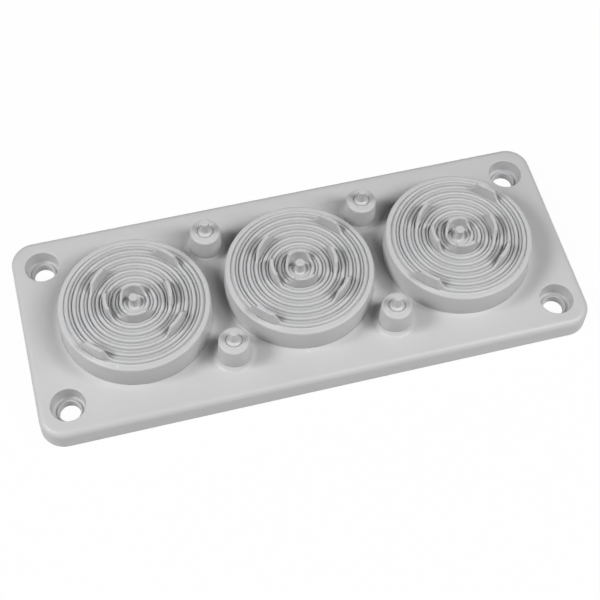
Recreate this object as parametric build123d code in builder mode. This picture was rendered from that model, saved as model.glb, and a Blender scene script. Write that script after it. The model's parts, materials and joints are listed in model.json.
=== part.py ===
from build123d import *
import os
from math import atan2, degrees

# A cable entry plate moulded in one piece from a soft, light grey elastomer.
# Three large stepped membranes and four small domes stand on a rectangular flange with four screw holes.
# Millimetres. The origin is the middle of the flange's underside, X runs along it and Z points up.

# Flange
flange_length = 220.0
flange_width = 88.3
flange_height = 9.2
corner_radius = 9.5
top_edge_radius = 2.4
side_draft_angle = 1.5

# Dished field in the flange's top face, round the membranes and domes
field_side_margin = 10.75
field_end_margin = 8.5
field_inset = 7.0
field_depth = 0.5

# Counterbored seats of the four corner screws
screw_end_inset = 12.0
screw_side_inset = 12.75
screw_hole_radius = 4.25
seat_depth = 6.2
seat_radius = 6.75
collar_radius = 5.0
collar_height = 0.6

# Stepped membranes
membrane_count = 3
membrane_wall_foot_radius = 30.0
membrane_wall_taper = 0.65
membrane_wall_thickness = 3.2
membrane_skin = 1.6
membrane_gap = 5.7
rim_top = 20.0
rim_width = 1.9
rim_bevel = 0.6

# Concentric tear rings: a lopsided crest between two tear grooves
ring_count = 8
ring_rise = 1.05
groove_depth = 1.1
groove_offset = 1.05
rim_groove_offset = 0.45
centre_floor_radius = 3.16

# Grip tabs, one on each ring, counted from the outer ring inwards
tab_angles = (225.0, 45.0, 315.0, 135.0, 0.0, 180.0, 270.0, 90.0)
tab_rise = 5.55
tab_top_length = 7.4
tab_top_thickness = 1.45
tab_foot_length = 14.2
tab_foot_thickness = 2.8

# Pin in the middle of each membrane
centre_pin_radius = 1.75
centre_pin_rise = 4.6

# Small domes, each a little nearer to the plate's middle than halfway between two membranes
dome_inset = 0.55
dome_spacing_y = 50.6
dome_top = 20.6
dome_foot_radius = 6.6
dome_wall_taper = 0.65
dome_wall_thickness = 2.3
dome_skin = 2.0
dome_bevel = 0.6
dome_collar_radius = 2.95
dome_collar_height = 0.8
dome_pin_radius = 1.75
dome_pin_rise = 6.5

# Reach of cutting shapes past the faces that they open
overshoot = 1.0

# Radii and heights worked out from the sizes above
membrane_wall_top_radius = membrane_wall_foot_radius - membrane_wall_taper
rim_inner_radius = membrane_wall_top_radius - rim_width
rim_groove_radius = rim_inner_radius - rim_groove_offset
ring_pitch = (rim_groove_radius - centre_floor_radius) / ring_count
ring_radii = [rim_groove_radius - groove_offset - ring_pitch * index for index in range(ring_count)]
ring_top = rim_top + ring_rise
groove_floor = rim_top - groove_depth
tab_top = rim_top + tab_rise
tab_end_slope = degrees(atan2(tab_top - groove_floor, (tab_foot_length - tab_top_length) / 2))
dome_shoulder_radius = dome_foot_radius - dome_wall_taper

# Places worked out from the sizes above
membrane_pitch = 2 * membrane_wall_foot_radius + membrane_gap
membrane_row = (membrane_count - 1) * membrane_pitch
field_half_width = flange_width / 2 - field_side_margin
field_end_radius = (flange_length - membrane_row) / 2 - field_end_margin
field_floor = flange_height - field_depth
membrane_places = GridLocations(membrane_pitch, 0, membrane_count, 1)
dome_places = GridLocations(membrane_pitch - 2 * dome_inset, dome_spacing_y, 2, 2)
screw_places = GridLocations(flange_length - 2 * screw_end_inset, flange_width - 2 * screw_side_inset, 2, 2)


def ring_outline(radius):
    """Section of one tear ring: the groove on its inner side, then its crest."""
    return [(radius - ring_pitch + groove_offset, groove_floor), (radius, ring_top)]


def grip_tab(radius, angle):
    """Drafted bar bent along a ring, with both ends sloping down from its top to the ring."""
    foot_sector = degrees(tab_foot_length / radius)
    top_sector = degrees(tab_top_length / radius)
    with BuildPart() as tab:
        with BuildSketch(Plane.XZ):
            with BuildLine():
                Polyline(
                    (radius - tab_foot_thickness / 2, groove_floor),
                    (radius + tab_foot_thickness / 2, groove_floor),
                    (radius + tab_top_thickness / 2, tab_top),
                    (radius - tab_top_thickness / 2, tab_top),
                    close=True,
                )
            make_face()
        revolve(axis=Axis.Z, revolution_arc=foot_sector)
        for side in (-1, 1):
            turn = (-side * tab_end_slope, 0, (foot_sector + side * top_sector) / 2)
            end_face = Plane.XY.offset(tab_top).rotated(turn, Extrinsic.XYZ)
            split(bisect_by=end_face, keep=Keep.BOTTOM)
    return tab.part.rotate(Axis.Z, angle - foot_sector / 2)


grip_tabs = [grip_tab(radius, angle) for radius, angle in zip(ring_radii, tab_angles)]

# Membrane: rim, tear rings and centre pin turned about one axis, then a grip tab on each ring
with BuildPart() as membrane:
    with BuildSketch(Plane.XZ):
        with BuildLine():
            rings = [point for radius in reversed(ring_radii) for point in ring_outline(radius)]
            pin = [
                (0, rim_top + centre_pin_rise),
                (centre_pin_radius, rim_top + centre_pin_rise),
                (centre_pin_radius, groove_floor),
            ]
            rim = [
                (rim_groove_radius, groove_floor),
                (rim_inner_radius, rim_top),
                (membrane_wall_top_radius - rim_bevel, rim_top),
                (membrane_wall_top_radius, rim_top - rim_bevel),
            ]
            wall = [
                (membrane_wall_foot_radius, field_floor),
                (membrane_wall_foot_radius, 0),
                (0, 0),
            ]
            Polyline(*pin, *rings, *rim, *wall, close=True)
        make_face()
    revolve(axis=Axis.Z)
    add(grip_tabs)

# Small dome: tapered boss with a pull pin that stands on a low collar
with BuildPart() as dome:
    with BuildSketch(Plane.XZ):
        with BuildLine():
            Polyline(
                (0, dome_top + dome_pin_rise),
                (dome_pin_radius, dome_top + dome_pin_rise),
                (dome_pin_radius, dome_top + dome_collar_height),
                (dome_collar_radius, dome_top),
                (dome_shoulder_radius - dome_bevel, dome_top),
                (dome_shoulder_radius, dome_top - dome_bevel),
                (dome_foot_radius, field_floor),
                (dome_foot_radius, 0),
                (0, 0),
                close=True,
            )
        make_face()
    revolve(axis=Axis.Z)

# Screw seat: a counterbore whose flat floor rises in a collar round the through hole
seat_floor = flange_height - seat_depth
with BuildPart() as screw_seat:
    with BuildSketch(Plane.XZ):
        with BuildLine():
            Polyline(
                (0, -overshoot),
                (screw_hole_radius, -overshoot),
                (screw_hole_radius, seat_floor + collar_height),
                (collar_radius, seat_floor),
                (seat_radius, seat_floor),
                (seat_radius, flange_height + overshoot),
                (0, flange_height + overshoot),
                close=True,
            )
        make_face()
    revolve(axis=Axis.Z)

# The whole moulding
with BuildPart() as cable_entry_plate:
    with BuildSketch():
        RectangleRounded(flange_length, flange_width, corner_radius)
    extrude(amount=flange_height, taper=side_draft_angle)
    fillet(cable_entry_plate.faces().sort_by(Axis.Z)[-1].edges(), radius=top_edge_radius)
    for height, inset in ((flange_height, 0), (field_floor, field_inset)):
        with BuildSketch(Plane.XY.offset(height)):
            SlotCenterToCenter(membrane_row, 2 * (field_end_radius - inset))
            Rectangle(flange_length, 2 * (field_half_width - inset), mode=Mode.INTERSECT)
    loft(ruled=True, mode=Mode.SUBTRACT)
    with membrane_places:
        add(membrane.part)
    with dome_places:
        add(dome.part)
    with BuildSketch():
        with membrane_places:
            Circle(membrane_wall_foot_radius - membrane_wall_thickness)
    extrude(amount=groove_floor - membrane_skin, mode=Mode.SUBTRACT)
    with BuildSketch():
        with dome_places:
            Circle(dome_foot_radius - dome_wall_thickness)
    extrude(amount=dome_top - dome_skin, mode=Mode.SUBTRACT)
    with screw_places:
        add(screw_seat.part, mode=Mode.SUBTRACT)

cable_entry_plate.part.label = "cable_entry_plate"
os.makedirs("parts", exist_ok=True)
export_step(cable_entry_plate.part, "parts/cable_entry_plate.step")
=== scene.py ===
import json
import math

import bmesh
import bpy
import numpy as np
from mathutils import Matrix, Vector
from mathutils.geometry import delaunay_2d_cdt


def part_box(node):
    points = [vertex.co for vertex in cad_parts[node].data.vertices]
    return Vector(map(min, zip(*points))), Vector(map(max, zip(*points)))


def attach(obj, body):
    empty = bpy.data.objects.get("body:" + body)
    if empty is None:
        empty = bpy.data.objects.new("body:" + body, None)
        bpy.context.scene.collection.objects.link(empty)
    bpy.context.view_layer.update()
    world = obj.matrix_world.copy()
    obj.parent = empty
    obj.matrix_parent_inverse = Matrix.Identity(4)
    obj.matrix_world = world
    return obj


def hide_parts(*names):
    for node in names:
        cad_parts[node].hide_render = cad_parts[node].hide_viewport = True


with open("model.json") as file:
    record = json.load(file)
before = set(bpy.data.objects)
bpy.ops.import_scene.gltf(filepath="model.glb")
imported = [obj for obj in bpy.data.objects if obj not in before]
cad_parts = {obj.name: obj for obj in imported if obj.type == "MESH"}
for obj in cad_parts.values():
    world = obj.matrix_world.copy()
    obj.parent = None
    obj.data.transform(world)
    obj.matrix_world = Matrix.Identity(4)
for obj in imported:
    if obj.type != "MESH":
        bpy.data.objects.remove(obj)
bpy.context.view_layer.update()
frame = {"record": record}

# A cable entry plate moulded in one piece from light grey elastomer, seen from the front and above.
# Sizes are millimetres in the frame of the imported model, and become metres where a mesh is made.
MM = 0.001
NODE = "cable_entry_plate"

# Flange
_, plate_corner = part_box(NODE)
half_length, half_width, _ = np.array(plate_corner) / MM
flange_height = 9.2
corner_radius = 9.5
top_edge_radius = 2.4
bottom_edge_radius = 0.4
side_draft = math.tan(math.radians(1.5))

# Dished field in the flange's top face, and the height and reach of its rise to the foot of each wall
field_half_width = 33.4
field_end_radius = 35.8
field_slope_width = 5.0
field_depth = 0.5
membrane_rise = (0.65, 3.0)
dome_rise = (1.7, 2.3)

# Round marks that the mould's ejector pins left in the flange's front strip
ejector_marks = [(-34.4, -35.6), (34.4, -35.6)]
ejector_radius = 2.4
ejector_line_depth = 0.05
ejector_line_width = 0.14

# Screw seats
screw_mount = next(mount for mount in frame["record"]["mounts"] if mount["name"] == "screw_holes")
screw_x = screw_mount["dims"]["spacing_x_mm"] / 2
screw_y = screw_mount["dims"]["spacing_y_mm"] / 2
screw_hole_radius = screw_mount["dims"]["hole_r_mm"]
hole_foot_radius = 4.0
seat_mouth_radius = 6.7
seat_foot_radius = 6.45
seat_floor = 2.9
collar_foot_radius = 5.2
collar_top_radius = 4.8
collar_top = 3.5

# Sockets in which the membranes and domes stand, and the bevel round the hollows in the underside
joint_height = flange_height - 2.5
hollow_bevel = 0.4

# Membranes
membrane_pitch = 65.7
membrane_foot_radius = 29.95
membrane_hollow_radius = 26.8
membrane_hollow_roof = 17.3
membrane_hollow_rounding = 0.6
centre_pin_top = 24.5

# Tear rings, with the tear slits between them
ring_count = 8
ring_pitch = 2.98
outer_ring_radius = 25.95
slit_floor = 19.75
slit_offset = 1.0
rim_slit_radius = outer_ring_radius + slit_offset
inner_slit_radius = rim_slit_radius - ring_count * ring_pitch

# Section of one tear ring across a pitch: offset from the line of its crest, and height
ring_section = np.array([
    (slit_offset - ring_pitch, slit_floor), (-1.88, 19.8),  # tear slit
    (-1.65, 20.65), (-1.38, 20.95), (-1.15, 20.8),  # lesser ridge
    (-0.82, 20.1), (-0.74, 20.1),  # shallow valley
    (-0.42, 20.95), (-0.2, 21.05), (0.3, 21.05), (0.55, 20.85),  # broad main crest
    (0.86, 19.8), (slit_offset, slit_floor),  # next tear slit
])

# Rows of points across a pitch, which lie closer together on the steep flanks
ring_rows = np.array([
    -1.98, -1.88, -1.82, -1.76, -1.7, -1.65, -1.5, -1.38, -1.26, -1.15, -1.04, -0.93, -0.82, -0.74,
    -0.66, -0.58, -0.5, -0.42, -0.3, -0.2, 0.05, 0.3, 0.43, 0.55, 0.64, 0.72, 0.79, 0.86,
])

# The ridge round the middle pin, which stands lower: its outer radius, the width over which the
# lowering fades in, and the share of its rise that it loses
low_ridge_radius = 4.4
low_ridge_blend = 0.3
low_ridge_loss = 0.6 / 1.1

# Grip tabs, one on each ring, from the outer ring inwards. Past its level top each sweeps down to
# its foot, and thins to the tip's share of its thickness.
tab_angles = np.radians([225, 45, 315, 135, 0, 180, 270, 90])
tab_top = 25.5
tab_foot = 21.0
tab_half_length = 3.7
tab_sweep = 3.7
tab_sweep_power = 1.8
tab_half_thickness = 0.66
tab_tip_share = 0.6
tab_side_slope = 11.0
tab_edge_lift = 0.06
tab_edge_rounding = 0.3
tab_foot_rounding = 0.1

# Deeper slots along both sides of each tab, by the distance of their middles from the ring's line
slot_floor = 18.2
slot_distance = 0.9
slot_half_width = 0.2
slot_side_slope = 9.0

# Domes
dome_x, dome_y = 32.3, 25.3
dome_foot_radius = 6.55
dome_top = 20.4
dome_hollow_radius = 4.3
dome_hollow_roof = 18.6
dome_hollow_rounding = 0.4
pull_pin_top = 26.95

# Sections as points of radius, height and rounding. The first and last point only give a direction.
# The side's section has the inset from the flange's outline in place of the radius.
centre_pin_section = [
    (0, centre_pin_top, 0), (1.74, centre_pin_top, 0.18),  # level top of the pin
    (1.68, 19.2, 0.45), (2.85, 19.2, 0.1),  # floor round its foot
    (inner_slit_radius, slit_floor, 0),
]
rim_section = [
    (rim_slit_radius, slit_floor, 0), (27.1, 19.7, 0.05),  # slit at the rim's foot
    (27.28, 20.1, 0.2), (29.35, 20.0, 0.8),  # inner and outer edge of the rim
    (membrane_foot_radius, flange_height, 0),
]
dome_section = [
    (0, pull_pin_top, 0), (1.74, pull_pin_top, 0.15), (1.7, 21.35, 0.15),  # pull pin
    (2.05, 21.2, 0.2), (2.85, 20.9, 0.35),  # low collar
    (2.95, 20.05, 0.08), (3.15, 20.05, 0.08),  # fine groove round the collar
    (3.3, dome_top, 0.15), (5.95, dome_top, 0.85),  # level top and its shoulder
    (dome_foot_radius, 10.0, 0),
]
seat_section = [
    (seat_mouth_radius + 1, flange_height, 0), (seat_mouth_radius, flange_height, 0.35),
    (seat_foot_radius, seat_floor, 0.75), (collar_foot_radius, seat_floor, 0.2),  # floor
    (collar_top_radius, collar_top, 0.2), (screw_hole_radius, collar_top, 0.15),  # collar
    (hole_foot_radius, 0, 0.2), (hole_foot_radius + 1, 0, 0),
]
side_section = [
    (corner_radius, 0, 0), (0, 0, bottom_edge_radius),
    (side_draft * flange_height, flange_height, top_edge_radius), (corner_radius, flange_height, 0),
]

# Fineness of the meshes: points round each circle, and distances between the flange's points
MEMBRANE_COLUMNS = 352
DOME_COLUMNS = 96
SEAT_COLUMNS = 96
EJECTOR_COLUMNS = 48
CORNER_STEPS = 14
LONG_SIDE_STEPS = 48
SHORT_SIDE_STEPS = 16
TOP_SPACING = 1.6
UNDERSIDE_SPACING = 5.0
FOOT_RINGS = (0.25, 0.55, 0.9, 1.3, 1.8, 2.4, 3.1)
EJECTOR_RINGS = (-0.6, -0.25, -0.12, 0, 0.12, 0.25, 0.6)
SHARP_ANGLE = math.radians(40)

# Studio: the photograph's camera and its soft lamps
camera_place = (-77.85, -254.49, 451.80)
camera_turn = (30.215, -1.519, -14.568)
camera_sensor = 36.0
camera_lens = 77.62
softbox_size = 300.0
softboxes = [
    ("right_softbox", (574, -305, 651), 3.9),
    ("front_right_softbox", (281, -347, 805), 2.2),
    ("left_softbox", (-651, 0, 651), 4.95),
    ("front_left_softbox", (-667, -283, 566), 1.0),
]
world_strength = 0.02
table_half_width = 1500.0
table_height = -0.02
table_glow_share = 0.97

membrane_places = [(x, 0.0) for x in (-membrane_pitch, 0.0, membrane_pitch)]
dome_places = [(x, y) for x in (-dome_x, dome_x) for y in (-dome_y, dome_y)]
screw_places = [(x, y) for x in (-screw_x, screw_x) for y in (-screw_y, screw_y)]


def floor_height(x, y):
    """Height of the flange's top face. It is level outside the field. Inside its border it falls as
    a parabola that levels off at the slope's width, measured from the nearer of the field's
    straight side and its round end. Towards the foot of each wall it rises again as a parabola of
    the distance left. Each ejector mark is a bell-shaped line pressed in round its circle."""
    past_end = np.maximum(np.abs(x) - membrane_pitch, 0)
    inside = np.minimum(field_end_radius - np.hypot(past_end, y), field_half_width - np.abs(y))
    height = flange_height - field_depth * (1 - (1 - np.clip(inside / field_slope_width, 0, 1)) ** 2)
    for places, radius, (rise, reach) in (
        (membrane_places, membrane_foot_radius, membrane_rise),
        (dome_places, dome_foot_radius, dome_rise),
    ):
        for centre_x, centre_y in places:
            away = (np.hypot(x - centre_x, y - centre_y) - radius) / reach
            height = height + rise * (1 - np.clip(away, 0, 1)) ** 2
    for centre_x, centre_y in ejector_marks:
        beside = (np.hypot(x - centre_x, y - centre_y) - ejector_radius) / ejector_line_width
        height = height - ejector_line_depth * np.exp(-beside ** 2)
    return height


def underside_height(x, y):
    """Height of the flange's underside, which is level."""
    return np.zeros_like(x)


def circle(centre_x, centre_y, radius, columns):
    """Evenly spaced points of a circle."""
    angle = np.arange(columns) * 2 * math.pi / columns
    return np.stack([centre_x + radius * np.cos(angle), centre_y + radius * np.sin(angle)], -1)


def rounded(section, steps=5):
    """A section with each inner corner replaced by an arc of its own rounding, without its first and
    last point. The arc starts and ends where the two sides touch it, and its points turn evenly
    from one side's normal to the other's. A rounding of zero keeps the corner."""
    corners, roundings = np.split(np.array(section, float), [2], axis=1)
    out = []
    for before, corner, after, radius in zip(corners, corners[1:], corners[2:], roundings[1:, 0]):
        if radius == 0:
            out.append(corner[None])
            continue
        a = (before - corner) / np.linalg.norm(before - corner)
        b = (after - corner) / np.linalg.norm(after - corner)
        half = np.arccos(np.clip(a @ b, -1, 1)) / 2
        middle = (a + b) / np.linalg.norm(a + b)
        centre = corner + middle * radius / np.sin(half)
        turn = np.linspace(-1, 1, steps + 1)[:, None] * (math.pi / 2 - half)
        across = (b - a) / np.linalg.norm(b - a)
        out.append(centre + radius * (across * np.sin(turn) - middle * np.cos(turn)))
    return np.vstack(out)


def make_piece(name, points, faces, material):
    """One mesh object from points in millimetres, smooth but for its sharp edges."""
    mesh = bpy.data.meshes.new(name)
    mesh.from_pydata((points * MM).tolist(), [], faces)
    mesh.shade_smooth()
    mesh.set_sharp_from_angle(angle=SHARP_ANGLE)
    mesh.materials.append(material)
    piece = bpy.data.objects.new(name, mesh)
    bpy.context.collection.objects.link(piece)
    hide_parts(NODE)
    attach(piece, "root")
    return piece


def grid_faces(rows, columns, start=0):
    """Quads between neighbouring rows of a grid whose columns close round on themselves."""
    row, column = np.meshgrid(np.arange(rows - 1), np.arange(columns), indexing="ij")
    following = (column + 1) % columns
    near, far = start + row * columns, start + (row + 1) * columns
    quads = np.stack([near + column, far + column, far + following, near + following], -1)
    return quads.reshape(-1, 4).tolist()


def turned_shell(radii, heights, centre, first_pole, last_pole):
    """Closed turned surface: each row is a circle of its radius about the centre, at its own
    heights round the circle. A pole point closes the first row and the last."""
    columns = heights.shape[1]
    angle = np.arange(columns) * 2 * math.pi / columns
    x = centre[0] + radii[:, None] * np.cos(angle)
    y = centre[1] + radii[:, None] * np.sin(angle)
    rows = np.stack([x, y, heights], -1).reshape(-1, 3)
    poles = [[*centre, first_pole], [*centre, last_pole]]
    points = np.vstack([poles, rows])
    ring = np.arange(columns)
    following = (ring + 1) % columns
    last = 2 + (len(radii) - 1) * columns
    top = np.stack([np.zeros_like(ring), 2 + ring, 2 + following], -1).tolist()
    bottom = np.stack([np.ones_like(ring), last + following, last + ring], -1).tolist()
    return points, top + grid_faces(len(radii), columns, 2) + bottom


def standing_piece(name, centre, radii, heights, pole, foot_radius, hollow, material):
    """A turned piece that stands in its socket: the rows of its top and wall from the pole outwards,
    its foot on the dished floor, the joint and the hollow, up to the middle of the hollow's roof."""
    columns = heights.shape[1]
    hollow_radius, roof, rounding = hollow
    foot = floor_height(*circle(*centre, foot_radius, columns).T)
    under = rounded([
        (foot_radius, flange_height, 0), (foot_radius, joint_height, 0), (hollow_radius, joint_height, 0),
        (hollow_radius, roof, rounding), (0, roof, 0),
    ])
    radii = np.concatenate([radii, [foot_radius], under[:, 0]])
    heights = np.vstack([heights, foot, np.repeat(under[:, 1:], columns, 1)])
    points, faces = turned_shell(radii, heights, centre, pole, roof)
    make_piece(name, points, faces, material)


# Membranes

def ring_relief(radius):
    """Height of the tear rings. Across each pitch the surface eases by half cosines from the tear
    slit up to a lesser ridge, down to a shallow valley, up to the broad main crest and down into the
    next slit. The ridge round the middle pin is lowered in proportion to its rise."""
    offset, height = ring_section.T
    place = (radius - outer_ring_radius - offset[0]) % ring_pitch + offset[0]
    index = np.clip(np.searchsorted(offset, place, side="right") - 1, 0, len(offset) - 2)
    share = (place - offset[index]) / (offset[index + 1] - offset[index])
    relief = height[index] + (height[index + 1] - height[index]) * (1 - np.cos(math.pi * share)) / 2
    near_pin = np.clip((low_ridge_radius - radius) / low_ridge_blend, 0, 1)
    return relief - low_ridge_loss * near_pin * (relief - slit_floor)


def smooth_least(a, b, reach):
    """The lesser of two heights, eased over a reach where they cross."""
    return (a + b - np.sqrt((a - b) ** 2 + reach ** 2)) / 2


def tab_place(radius, angle, ring):
    """Distance of points from the middle line of one tab's ring, and how much of the tab is left
    there: one along its level top, then falling to zero over the sweep past each end."""
    ring_radius = outer_ring_radius - ring * ring_pitch
    turn = (angle - tab_angles[ring] + math.pi) % (2 * math.pi) - math.pi
    past_end = (np.abs(turn) * ring_radius - tab_half_length) / tab_sweep
    return np.abs(radius - ring_radius), 1 - np.clip(past_end, 0, 1)


def slot_relief(radius, angle, ring):
    """Height of the deeper slots along both sides of one tab. Each slot has steep straight sides and
    rises at its ends with the square root of what is left of the tab."""
    beside, left = tab_place(radius, angle, ring)
    floor = slot_floor + (tab_top - slot_floor) * (1 - np.sqrt(left))
    return floor + slot_side_slope * np.maximum(np.abs(beside - slot_distance) - slot_half_width, 0)


def tab_relief(radius, angle, ring):
    """Height of one grip tab. Its top edge is level, and past each end it sweeps down to the ring's
    crest, fast at first and then easing off. The two steep sides fall in straight lines from it,
    closer together as the top edge comes down, and the edge between top and sides is rounded."""
    beside, left = tab_place(radius, angle, ring)
    edge = tab_foot + (tab_top - tab_foot) * left ** tab_sweep_power
    half_thickness = tab_half_thickness * (tab_tip_share + (1 - tab_tip_share) * left)
    side = edge + tab_side_slope * (half_thickness - beside)
    return np.where(left > 0, smooth_least(side, edge + tab_edge_lift, tab_edge_rounding), slot_floor)


def membrane(name, centre, material):
    """A stepped membrane: a turned section of pin, rings and rim. The slots take the lesser of their
    height and the rings', and the tabs then take the greater, eased where they cross."""
    angle = np.arange(MEMBRANE_COLUMNS) * 2 * math.pi / MEMBRANE_COLUMNS
    crests = outer_ring_radius - ring_pitch * np.arange(ring_count)[::-1]
    ring_radii = np.append((crests[:, None] + ring_rows).ravel(), rim_slit_radius)
    relief = np.repeat(ring_relief(ring_radii)[:, None], MEMBRANE_COLUMNS, 1)
    for ring in range(ring_count):
        relief = np.minimum(relief, slot_relief(ring_radii[:, None], angle, ring))
    for ring in range(ring_count):
        tab = tab_relief(ring_radii[:, None], angle, ring)
        relief = -smooth_least(-relief, -tab, tab_foot_rounding)
    pin, rim = rounded(centre_pin_section), rounded(rim_section)
    radii = np.concatenate([pin[:, 0], ring_radii, rim[:, 0]])
    heights = np.vstack([
        np.repeat(pin[:, 1:], MEMBRANE_COLUMNS, 1), relief, np.repeat(rim[:, 1:], MEMBRANE_COLUMNS, 1),
    ])
    hollow = (membrane_hollow_radius, membrane_hollow_roof, membrane_hollow_rounding)
    standing_piece(name, centre, radii, heights, centre_pin_top, membrane_foot_radius, hollow, material)


# Domes

def dome(name, centre, material):
    """A small dome: turned section of a pull pin on a low rounded collar with a fine groove round
    it, a level top with a rounded shoulder and a drafted wall."""
    top = rounded(dome_section)
    heights = np.repeat(top[:, 1:], DOME_COLUMNS, 1)
    hollow = (dome_hollow_radius, dome_hollow_roof, dome_hollow_rounding)
    standing_piece(name, centre, top[:, 0], heights, pull_pin_top, dome_foot_radius, hollow, material)


# Flange

def plate_outline():
    """Points of the inner rectangle of corner centres and the outward normal at each, so that the
    outline at any inset is the point plus the normal times the corner radius less the inset."""
    inner_x, inner_y = half_length - corner_radius, half_width - corner_radius
    points, normals = [], []
    for quarter, (sign_x, sign_y) in enumerate(((1, 1), (-1, 1), (-1, -1), (1, -1))):
        turn = (quarter + np.arange(CORNER_STEPS + 1) / CORNER_STEPS) * math.pi / 2
        corner = np.array([sign_x * inner_x, sign_y * inner_y])
        points.append(np.repeat(corner[None], CORNER_STEPS + 1, 0))
        normals.append(np.stack([np.cos(turn), np.sin(turn)], -1))
        steps = LONG_SIDE_STEPS if quarter % 2 == 0 else SHORT_SIDE_STEPS
        share = (np.arange(1, steps) / steps)[:, None]
        following = corner * ((-1, 1) if quarter % 2 == 0 else (1, -1))
        points.append(corner + (following - corner) * share)
        normals.append(np.repeat(normals[-1][-1:], steps - 1, 0))
    return np.vstack(points), np.vstack(normals)


def depth_inside_outline(points):
    """Distance of points inside the flange's outline, a rectangle with rounded corners: the corner
    radius less the distance past the rectangle of the corner centres."""
    past = np.abs(points) - (half_length - corner_radius, half_width - corner_radius)
    return corner_radius - np.linalg.norm(np.maximum(past, 0), axis=-1) - np.minimum(past.max(-1), 0)


def field_border(end_points=40, side_points=80):
    """Closed line along the field's border: two straight sides and two round ends."""
    reach = math.asin(field_half_width / field_end_radius)
    end = np.linspace(-reach, reach, end_points)
    right = np.stack([
        membrane_pitch + field_end_radius * np.cos(end), field_end_radius * np.sin(end)
    ], -1)
    straight = np.linspace(right[-1, 0], -right[-1, 0], side_points)[1:-1]
    rear = np.stack([straight, np.full_like(straight, field_half_width)], -1)
    return np.vstack([right, rear, -right, -rear])


def outside_openings(line, openings, margin=0.4):
    """The stretches of a closed line that lie clear of all round openings."""
    clear = np.ones(len(line), bool)
    for (x, y), radius, _ in openings:
        clear &= np.hypot(line[:, 0] - x, line[:, 1] - y) > radius + margin
    first = int(np.argmin(clear)) if not clear.all() else 0
    line, clear = np.roll(line, -first, 0), np.roll(clear, -first)
    cuts = np.flatnonzero(np.diff(clear.astype(int)) != 0) + 1
    runs = np.split(np.arange(len(line)), cuts)
    return [line[run] for run in runs if clear[run[0]] and len(run) > 1]


def rings_round(rounds, steps, margin=0.25):
    """Circles of points round each wall or mark, one for each step away from it. A point stays only
    where its own round is the nearest, so that rings of neighbours don't cross."""
    out = []
    for place, radius, columns in rounds:
        for number, step in enumerate(steps):
            ring = circle(*place, radius + step, columns)
            ring = (ring + np.roll(ring, -1, 0)) / 2 if number % 2 else ring
            near = np.min([
                np.hypot(ring[:, 0] - x, ring[:, 1] - y) - other
                for (x, y), other, _ in rounds if (x, y) != place
            ], axis=0)
            out.append(ring[near > step + margin])
    return np.vstack(out)


def grid_inside(openings, fixed, spacing, batch=200):
    """Square grid of points inside the rounded top edge, outside the openings and clear of all fixed
    points by a little over half the spacing. The fixed points are compared in batches."""
    inner = np.stack(np.meshgrid(
        np.arange(-half_length, half_length, spacing), np.arange(-half_width, half_width, spacing)
    ), -1).reshape(-1, 2)
    clear_distance, edge_margin = 0.55 * spacing, 0.8
    for start in range(0, len(fixed), batch):
        gap = np.linalg.norm(inner[:, None] - fixed[None, start:start + batch], axis=-1).min(1)
        inner = inner[gap > clear_distance]
    inner = inner[depth_inside_outline(inner) > top_edge_radius + edge_margin]
    for (x, y), radius, _ in openings:
        inner = inner[np.hypot(inner[:, 0] - x, inner[:, 1] - y) > radius]
    return inner


def sheet(outline, openings, creases, rings, spacing, height):
    """Flat sheet between an outline and round openings: Delaunay triangles over their points, the
    crease lines, the rings of points and a grid, lifted to the height of each point."""
    loops = [outline] + [circle(*place, radius, columns) for place, radius, columns in openings]
    fixed = np.vstack(loops + creases + rings)
    points = np.vstack([fixed, grid_inside(openings, fixed, spacing)])
    edges, start = [], 0
    for line, closed in [(loop, True) for loop in loops] + [(crease, False) for crease in creases]:
        index = np.arange(len(line) if closed else len(line) - 1)
        edges += (start + np.stack([index, (index + 1) % len(line)], -1)).tolist()
        start += len(line)
    inside_only, merge_distance = 1, 1e-5
    verts, _, faces, *_ = delaunay_2d_cdt(
        [tuple(point) for point in points], edges, [], inside_only, merge_distance, False
    )
    verts, faces = np.array([tuple(vert) for vert in verts]), np.array(faces)
    middle = verts[faces].mean(1)
    keep = np.ones(len(faces), bool)
    for (x, y), radius, _ in openings:
        keep &= np.hypot(middle[:, 0] - x, middle[:, 1] - y) > radius
    return np.column_stack([verts, height(verts[:, 0], verts[:, 1])]), faces[keep]


def tube(centre, rows, columns):
    """Open turned wall through rows of radius and height about a centre."""
    points = np.vstack([
        np.column_stack([circle(*centre, radius, columns), np.broadcast_to(height, columns)])
        for radius, height in rows
    ])
    return points, grid_faces(len(rows), columns)


def socket_wall(place, outer, inner, columns):
    """Open wall of one socket: down from the dished floor, inwards at the joint and down through the
    hollow to its bevelled edge in the underside."""
    mouth_height = floor_height(*circle(*place, outer, columns).T)
    return tube(place, [
        (outer, mouth_height), (outer, joint_height), (inner, joint_height), (inner, hollow_bevel),
        (inner + hollow_bevel, 0),
    ], columns)


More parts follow.
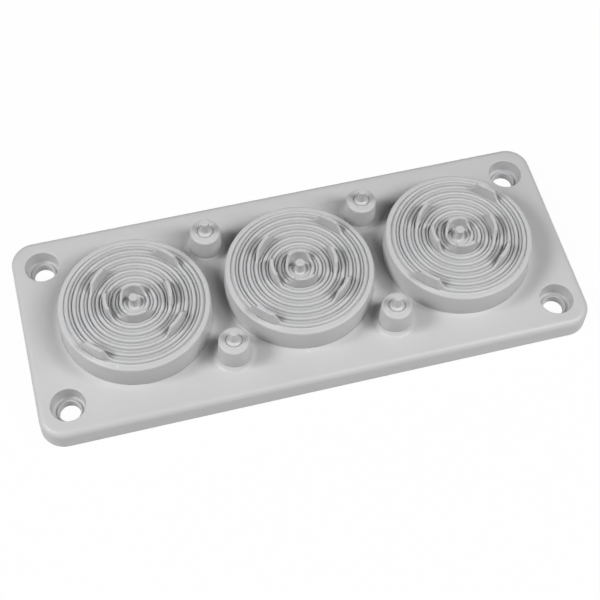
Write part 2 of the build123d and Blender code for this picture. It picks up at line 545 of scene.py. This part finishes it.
def flange(material):
    """The flange: a side section carried round the outline, a dished top sheet, a flat underside,
    four screw seats and the sockets in which the membranes and domes stand, all welded shut."""
    centres, normals = plate_outline()
    side = rounded(side_section, steps=8)
    outlines = centres + normals * (corner_radius - side[:, :1, None])
    heights = np.broadcast_to(side[:, 1:, None], (*outlines.shape[:2], 1))
    side_points = np.concatenate([outlines, heights], -1).reshape(-1, 3)

    membrane_sizes = (membrane_foot_radius, membrane_hollow_radius, MEMBRANE_COLUMNS)
    dome_sizes = (dome_foot_radius, dome_hollow_radius, DOME_COLUMNS)
    sockets = [(place, *membrane_sizes) for place in membrane_places]
    sockets += [(place, *dome_sizes) for place in dome_places]
    feet = [(place, outer, columns) for place, outer, _, columns in sockets]
    hollows = [(place, inner + hollow_bevel, columns) for place, _, inner, columns in sockets]
    seat = rounded(seat_section)
    mouths = [(place, seat[0, 0], SEAT_COLUMNS) for place in screw_places]
    holes = [(place, seat[-1, 0], SEAT_COLUMNS) for place in screw_places]
    marks = [(place, ejector_radius, EJECTOR_COLUMNS) for place in ejector_marks]
    rings = [rings_round(marks, EJECTOR_RINGS), rings_round(feet, FOOT_RINGS)]
    border = outside_openings(field_border(), feet + mouths)

    shells = [(side_points, grid_faces(len(side), len(centres)))]
    shells += [socket_wall(*row) for row in sockets]
    shells += [tube(place, seat, SEAT_COLUMNS) for place in screw_places]
    shells.append(sheet(outlines[-1], feet + mouths, border, rings, TOP_SPACING, floor_height))
    shells.append(sheet(outlines[0], hollows + holes, [], [], UNDERSIDE_SPACING, underside_height))

    faces, start = [], 0
    for points, part in shells:
        faces += (np.array(part) + start).tolist()
        start += len(points)
    piece = make_piece("flange", np.vstack([points for points, _ in shells]), faces, material)
    weld_distance = 0.002
    shell = bmesh.new()
    shell.from_mesh(piece.data)
    bmesh.ops.remove_doubles(shell, verts=shell.verts, dist=weld_distance * MM)
    bmesh.ops.recalc_face_normals(shell, faces=shell.faces)
    shell.to_mesh(piece.data)
    shell.free()


# Materials

def linear(hex_colour):
    """Linear colour of an sRGB hex value."""
    srgb = np.array([int(hex_colour[i:i + 2], 16) / 255 for i in (1, 3, 5)])
    value = np.where(srgb <= 0.04045, srgb / 12.92, ((srgb + 0.055) / 1.055) ** 2.4)
    return (*value.tolist(), 1.0)


def add_node(tree, kind, settings=None, **inputs):
    """A node of one kind with its settings, and with each input linked or set. An input is given by
    its name, or by the letter i and its number where names repeat."""
    node = tree.nodes.new(kind)
    for name, value in (settings or {}).items():
        setattr(node, name, value)
    for name, value in inputs.items():
        by_number = name[0] == "i" and name[1:].isdigit()
        socket = node.inputs[int(name[1:]) if by_number else name.replace("_", " ")]
        if isinstance(value, bpy.types.NodeSocket):
            tree.links.new(value, socket)
        else:
            socket.default_value = value
    return node


def new_material(name):
    """An empty node material and its output."""
    material = bpy.data.materials.new(name)
    material.use_nodes = True
    tree = material.node_tree
    tree.nodes.clear()
    return material, tree, tree.nodes.new("ShaderNodeOutputMaterial")


def moulded_elastomer():
    """Light grey thermoplastic elastomer from an injection mould with a fine eroded finish, which
    gives it a soft, even sheen without sharp reflections."""
    material, tree, output = new_material("moulded grey elastomer")
    place = add_node(tree, "ShaderNodeTexCoord").outputs["Object"]
    # Pigment that spread unevenly as the melt filled the mould: soft patches about 22 mm wide
    patches = add_node(
        tree, "ShaderNodeTexNoise", Vector=place, Scale=1 / (22.2 * MM), Detail=3.0, Roughness=0.55,
    )
    body = add_node(
        tree, "ShaderNodeMix", {"data_type": "RGBA"},
        i0=patches.outputs[0], i6=linear("#bfbfc0"), i7=linear("#c7c7c8"),
    )
    # Handling dust that clings to soft rubber: cells of 3.85 mm, seven in a hundred of which hold a
    # pale grain that fades from its core to its edge, half a millimetre from its middle
    dust_spacing, dust_core, dust_edge, dust_share = 3.85, 0.19, 0.5, 0.07
    dust = add_node(tree, "ShaderNodeTexVoronoi", Vector=place, Scale=1 / (dust_spacing * MM))
    fading = add_node(
        tree, "ShaderNodeMapRange", i0=dust.outputs["Distance"],
        i1=dust_core / dust_spacing, i2=dust_edge / dust_spacing, i3=1.0, i4=0.0,
    )
    chance = add_node(tree, "ShaderNodeSeparateColor", i0=dust.outputs["Color"])
    chosen = add_node(
        tree, "ShaderNodeMath", {"operation": "GREATER_THAN"}, i0=chance.outputs[0], i1=1 - dust_share,
    )
    speck = add_node(
        tree, "ShaderNodeMath", {"operation": "MULTIPLY"}, i0=fading.outputs[0], i1=chosen.outputs[0],
    )
    colour = add_node(
        tree, "ShaderNodeMix", {"data_type": "RGBA"},
        i0=speck.outputs[0], i6=body.outputs[2], i7=linear("#dadada"),
    )
    # Eroded mould finish: a matt grain about 0.14 mm wide and 0.04 mm deep
    grain = add_node(tree, "ShaderNodeTexNoise", Vector=place, Scale=1 / (0.143 * MM), Detail=2.0)
    bump = add_node(tree, "ShaderNodeBump", Height=grain.outputs[0], Strength=0.25, Distance=0.04 * MM)
    shader = add_node(
        tree, "ShaderNodeBsdfPrincipled",
        Base_Color=colour.outputs[2], Roughness=0.44, IOR=1.5, Normal=bump.outputs[0],
    )
    tree.links.new(shader.outputs[0], output.inputs["Surface"])
    return material


def white_table():
    """White studio table: matt white that the lamps shade, shown nearly white to the camera."""
    material, tree, output = new_material("white studio table")
    matt = add_node(tree, "ShaderNodeBsdfDiffuse", Color=linear("#e1e1e1"))
    glow = add_node(tree, "ShaderNodeEmission", Color=linear("#ffffff"), Strength=1.0)
    rays = add_node(tree, "ShaderNodeLightPath")
    seen = add_node(
        tree, "ShaderNodeMath", {"operation": "MULTIPLY"},
        i0=rays.outputs["Is Camera Ray"], i1=table_glow_share,
    )
    both = add_node(
        tree, "ShaderNodeMixShader", i0=seen.outputs[0], i1=matt.outputs[0], i2=glow.outputs[0],
    )
    tree.links.new(both.outputs[0], output.inputs["Surface"])
    return material


# Studio

def studio_world():
    """Even faint light from all round, and plain white where the camera sees it, also through glass."""
    world = bpy.data.worlds.new("studio")
    bpy.context.scene.world = world
    world.use_nodes = True
    tree = world.node_tree
    tree.nodes.clear()
    output = tree.nodes.new("ShaderNodeOutputWorld")
    rays = add_node(tree, "ShaderNodeLightPath")
    shown = add_node(
        tree, "ShaderNodeMath", {"operation": "MAXIMUM"},
        i0=rays.outputs["Is Camera Ray"], i1=rays.outputs["Is Transmission Ray"],
    )
    soft = add_node(tree, "ShaderNodeBackground", Color=linear("#ffffff"), Strength=world_strength)
    white = add_node(tree, "ShaderNodeBackground", Color=linear("#ffffff"), Strength=1.0)
    both = add_node(
        tree, "ShaderNodeMixShader", i0=shown.outputs[0], i1=soft.outputs[0], i2=white.outputs[0],
    )
    tree.links.new(both.outputs[0], output.inputs["Surface"])


def softbox(name, place, power):
    """A square soft light that faces the middle of the plate. Its axes are the line away from the
    plate, the line square to it and to the plate's width, and the line square to both."""
    lamp = bpy.data.lights.new(name, "AREA")
    lamp.shape = "SQUARE"
    lamp.size = softbox_size * MM
    lamp.energy = power
    light = bpy.data.objects.new(name, lamp)
    bpy.context.collection.objects.link(light)
    place = np.array(place, float)
    away = place / np.linalg.norm(place)
    side = np.cross((0, 1, 0), away)
    side /= np.linalg.norm(side)
    up = np.cross(away, side)
    turn = np.eye(4)
    turn[:3] = np.stack([side, up, away, place * MM], -1)
    light.matrix_world = Matrix(turn.tolist())


def studio_table():
    """A large floor just under the flange."""
    reach = table_half_width
    corners = [(-reach, -reach), (reach, -reach), (reach, reach), (-reach, reach)]
    mesh = bpy.data.meshes.new("studio_table")
    mesh.from_pydata([(x * MM, y * MM, table_height * MM) for x, y in corners], [], [(0, 1, 2, 3)])
    mesh.materials.append(white_table())
    table = bpy.data.objects.new("studio_table", mesh)
    bpy.context.collection.objects.link(table)


def photo_camera():
    """The photograph's camera: nearly sixty degrees above the table, turned fifteen degrees to the
    left of the plate's middle line and rolled a little."""
    lens = bpy.data.cameras.new("photo_camera")
    lens.sensor_width = camera_sensor
    lens.lens = camera_lens
    lens.clip_end = 10.0
    camera = bpy.data.objects.new("photo_camera", lens)
    camera.location = [value * MM for value in camera_place]
    camera.rotation_euler = [math.radians(value) for value in camera_turn]
    bpy.context.collection.objects.link(camera)
    bpy.context.scene.camera = camera


elastomer = moulded_elastomer()
flange(elastomer)
for side, centre in zip(("left", "middle", "right"), membrane_places):
    membrane("membrane_" + side, centre, elastomer)
for depth, centre_y in (("front", -dome_y), ("rear", dome_y)):
    for side, centre_x in (("left", -dome_x), ("right", dome_x)):
        dome("dome_" + depth + "_" + side, (centre_x, centre_y), elastomer)

studio_table()
photo_camera()
studio_world()
for name, place, power in softboxes:
    softbox(name, place, power)
bpy.context.scene.view_settings.view_transform = "Standard"
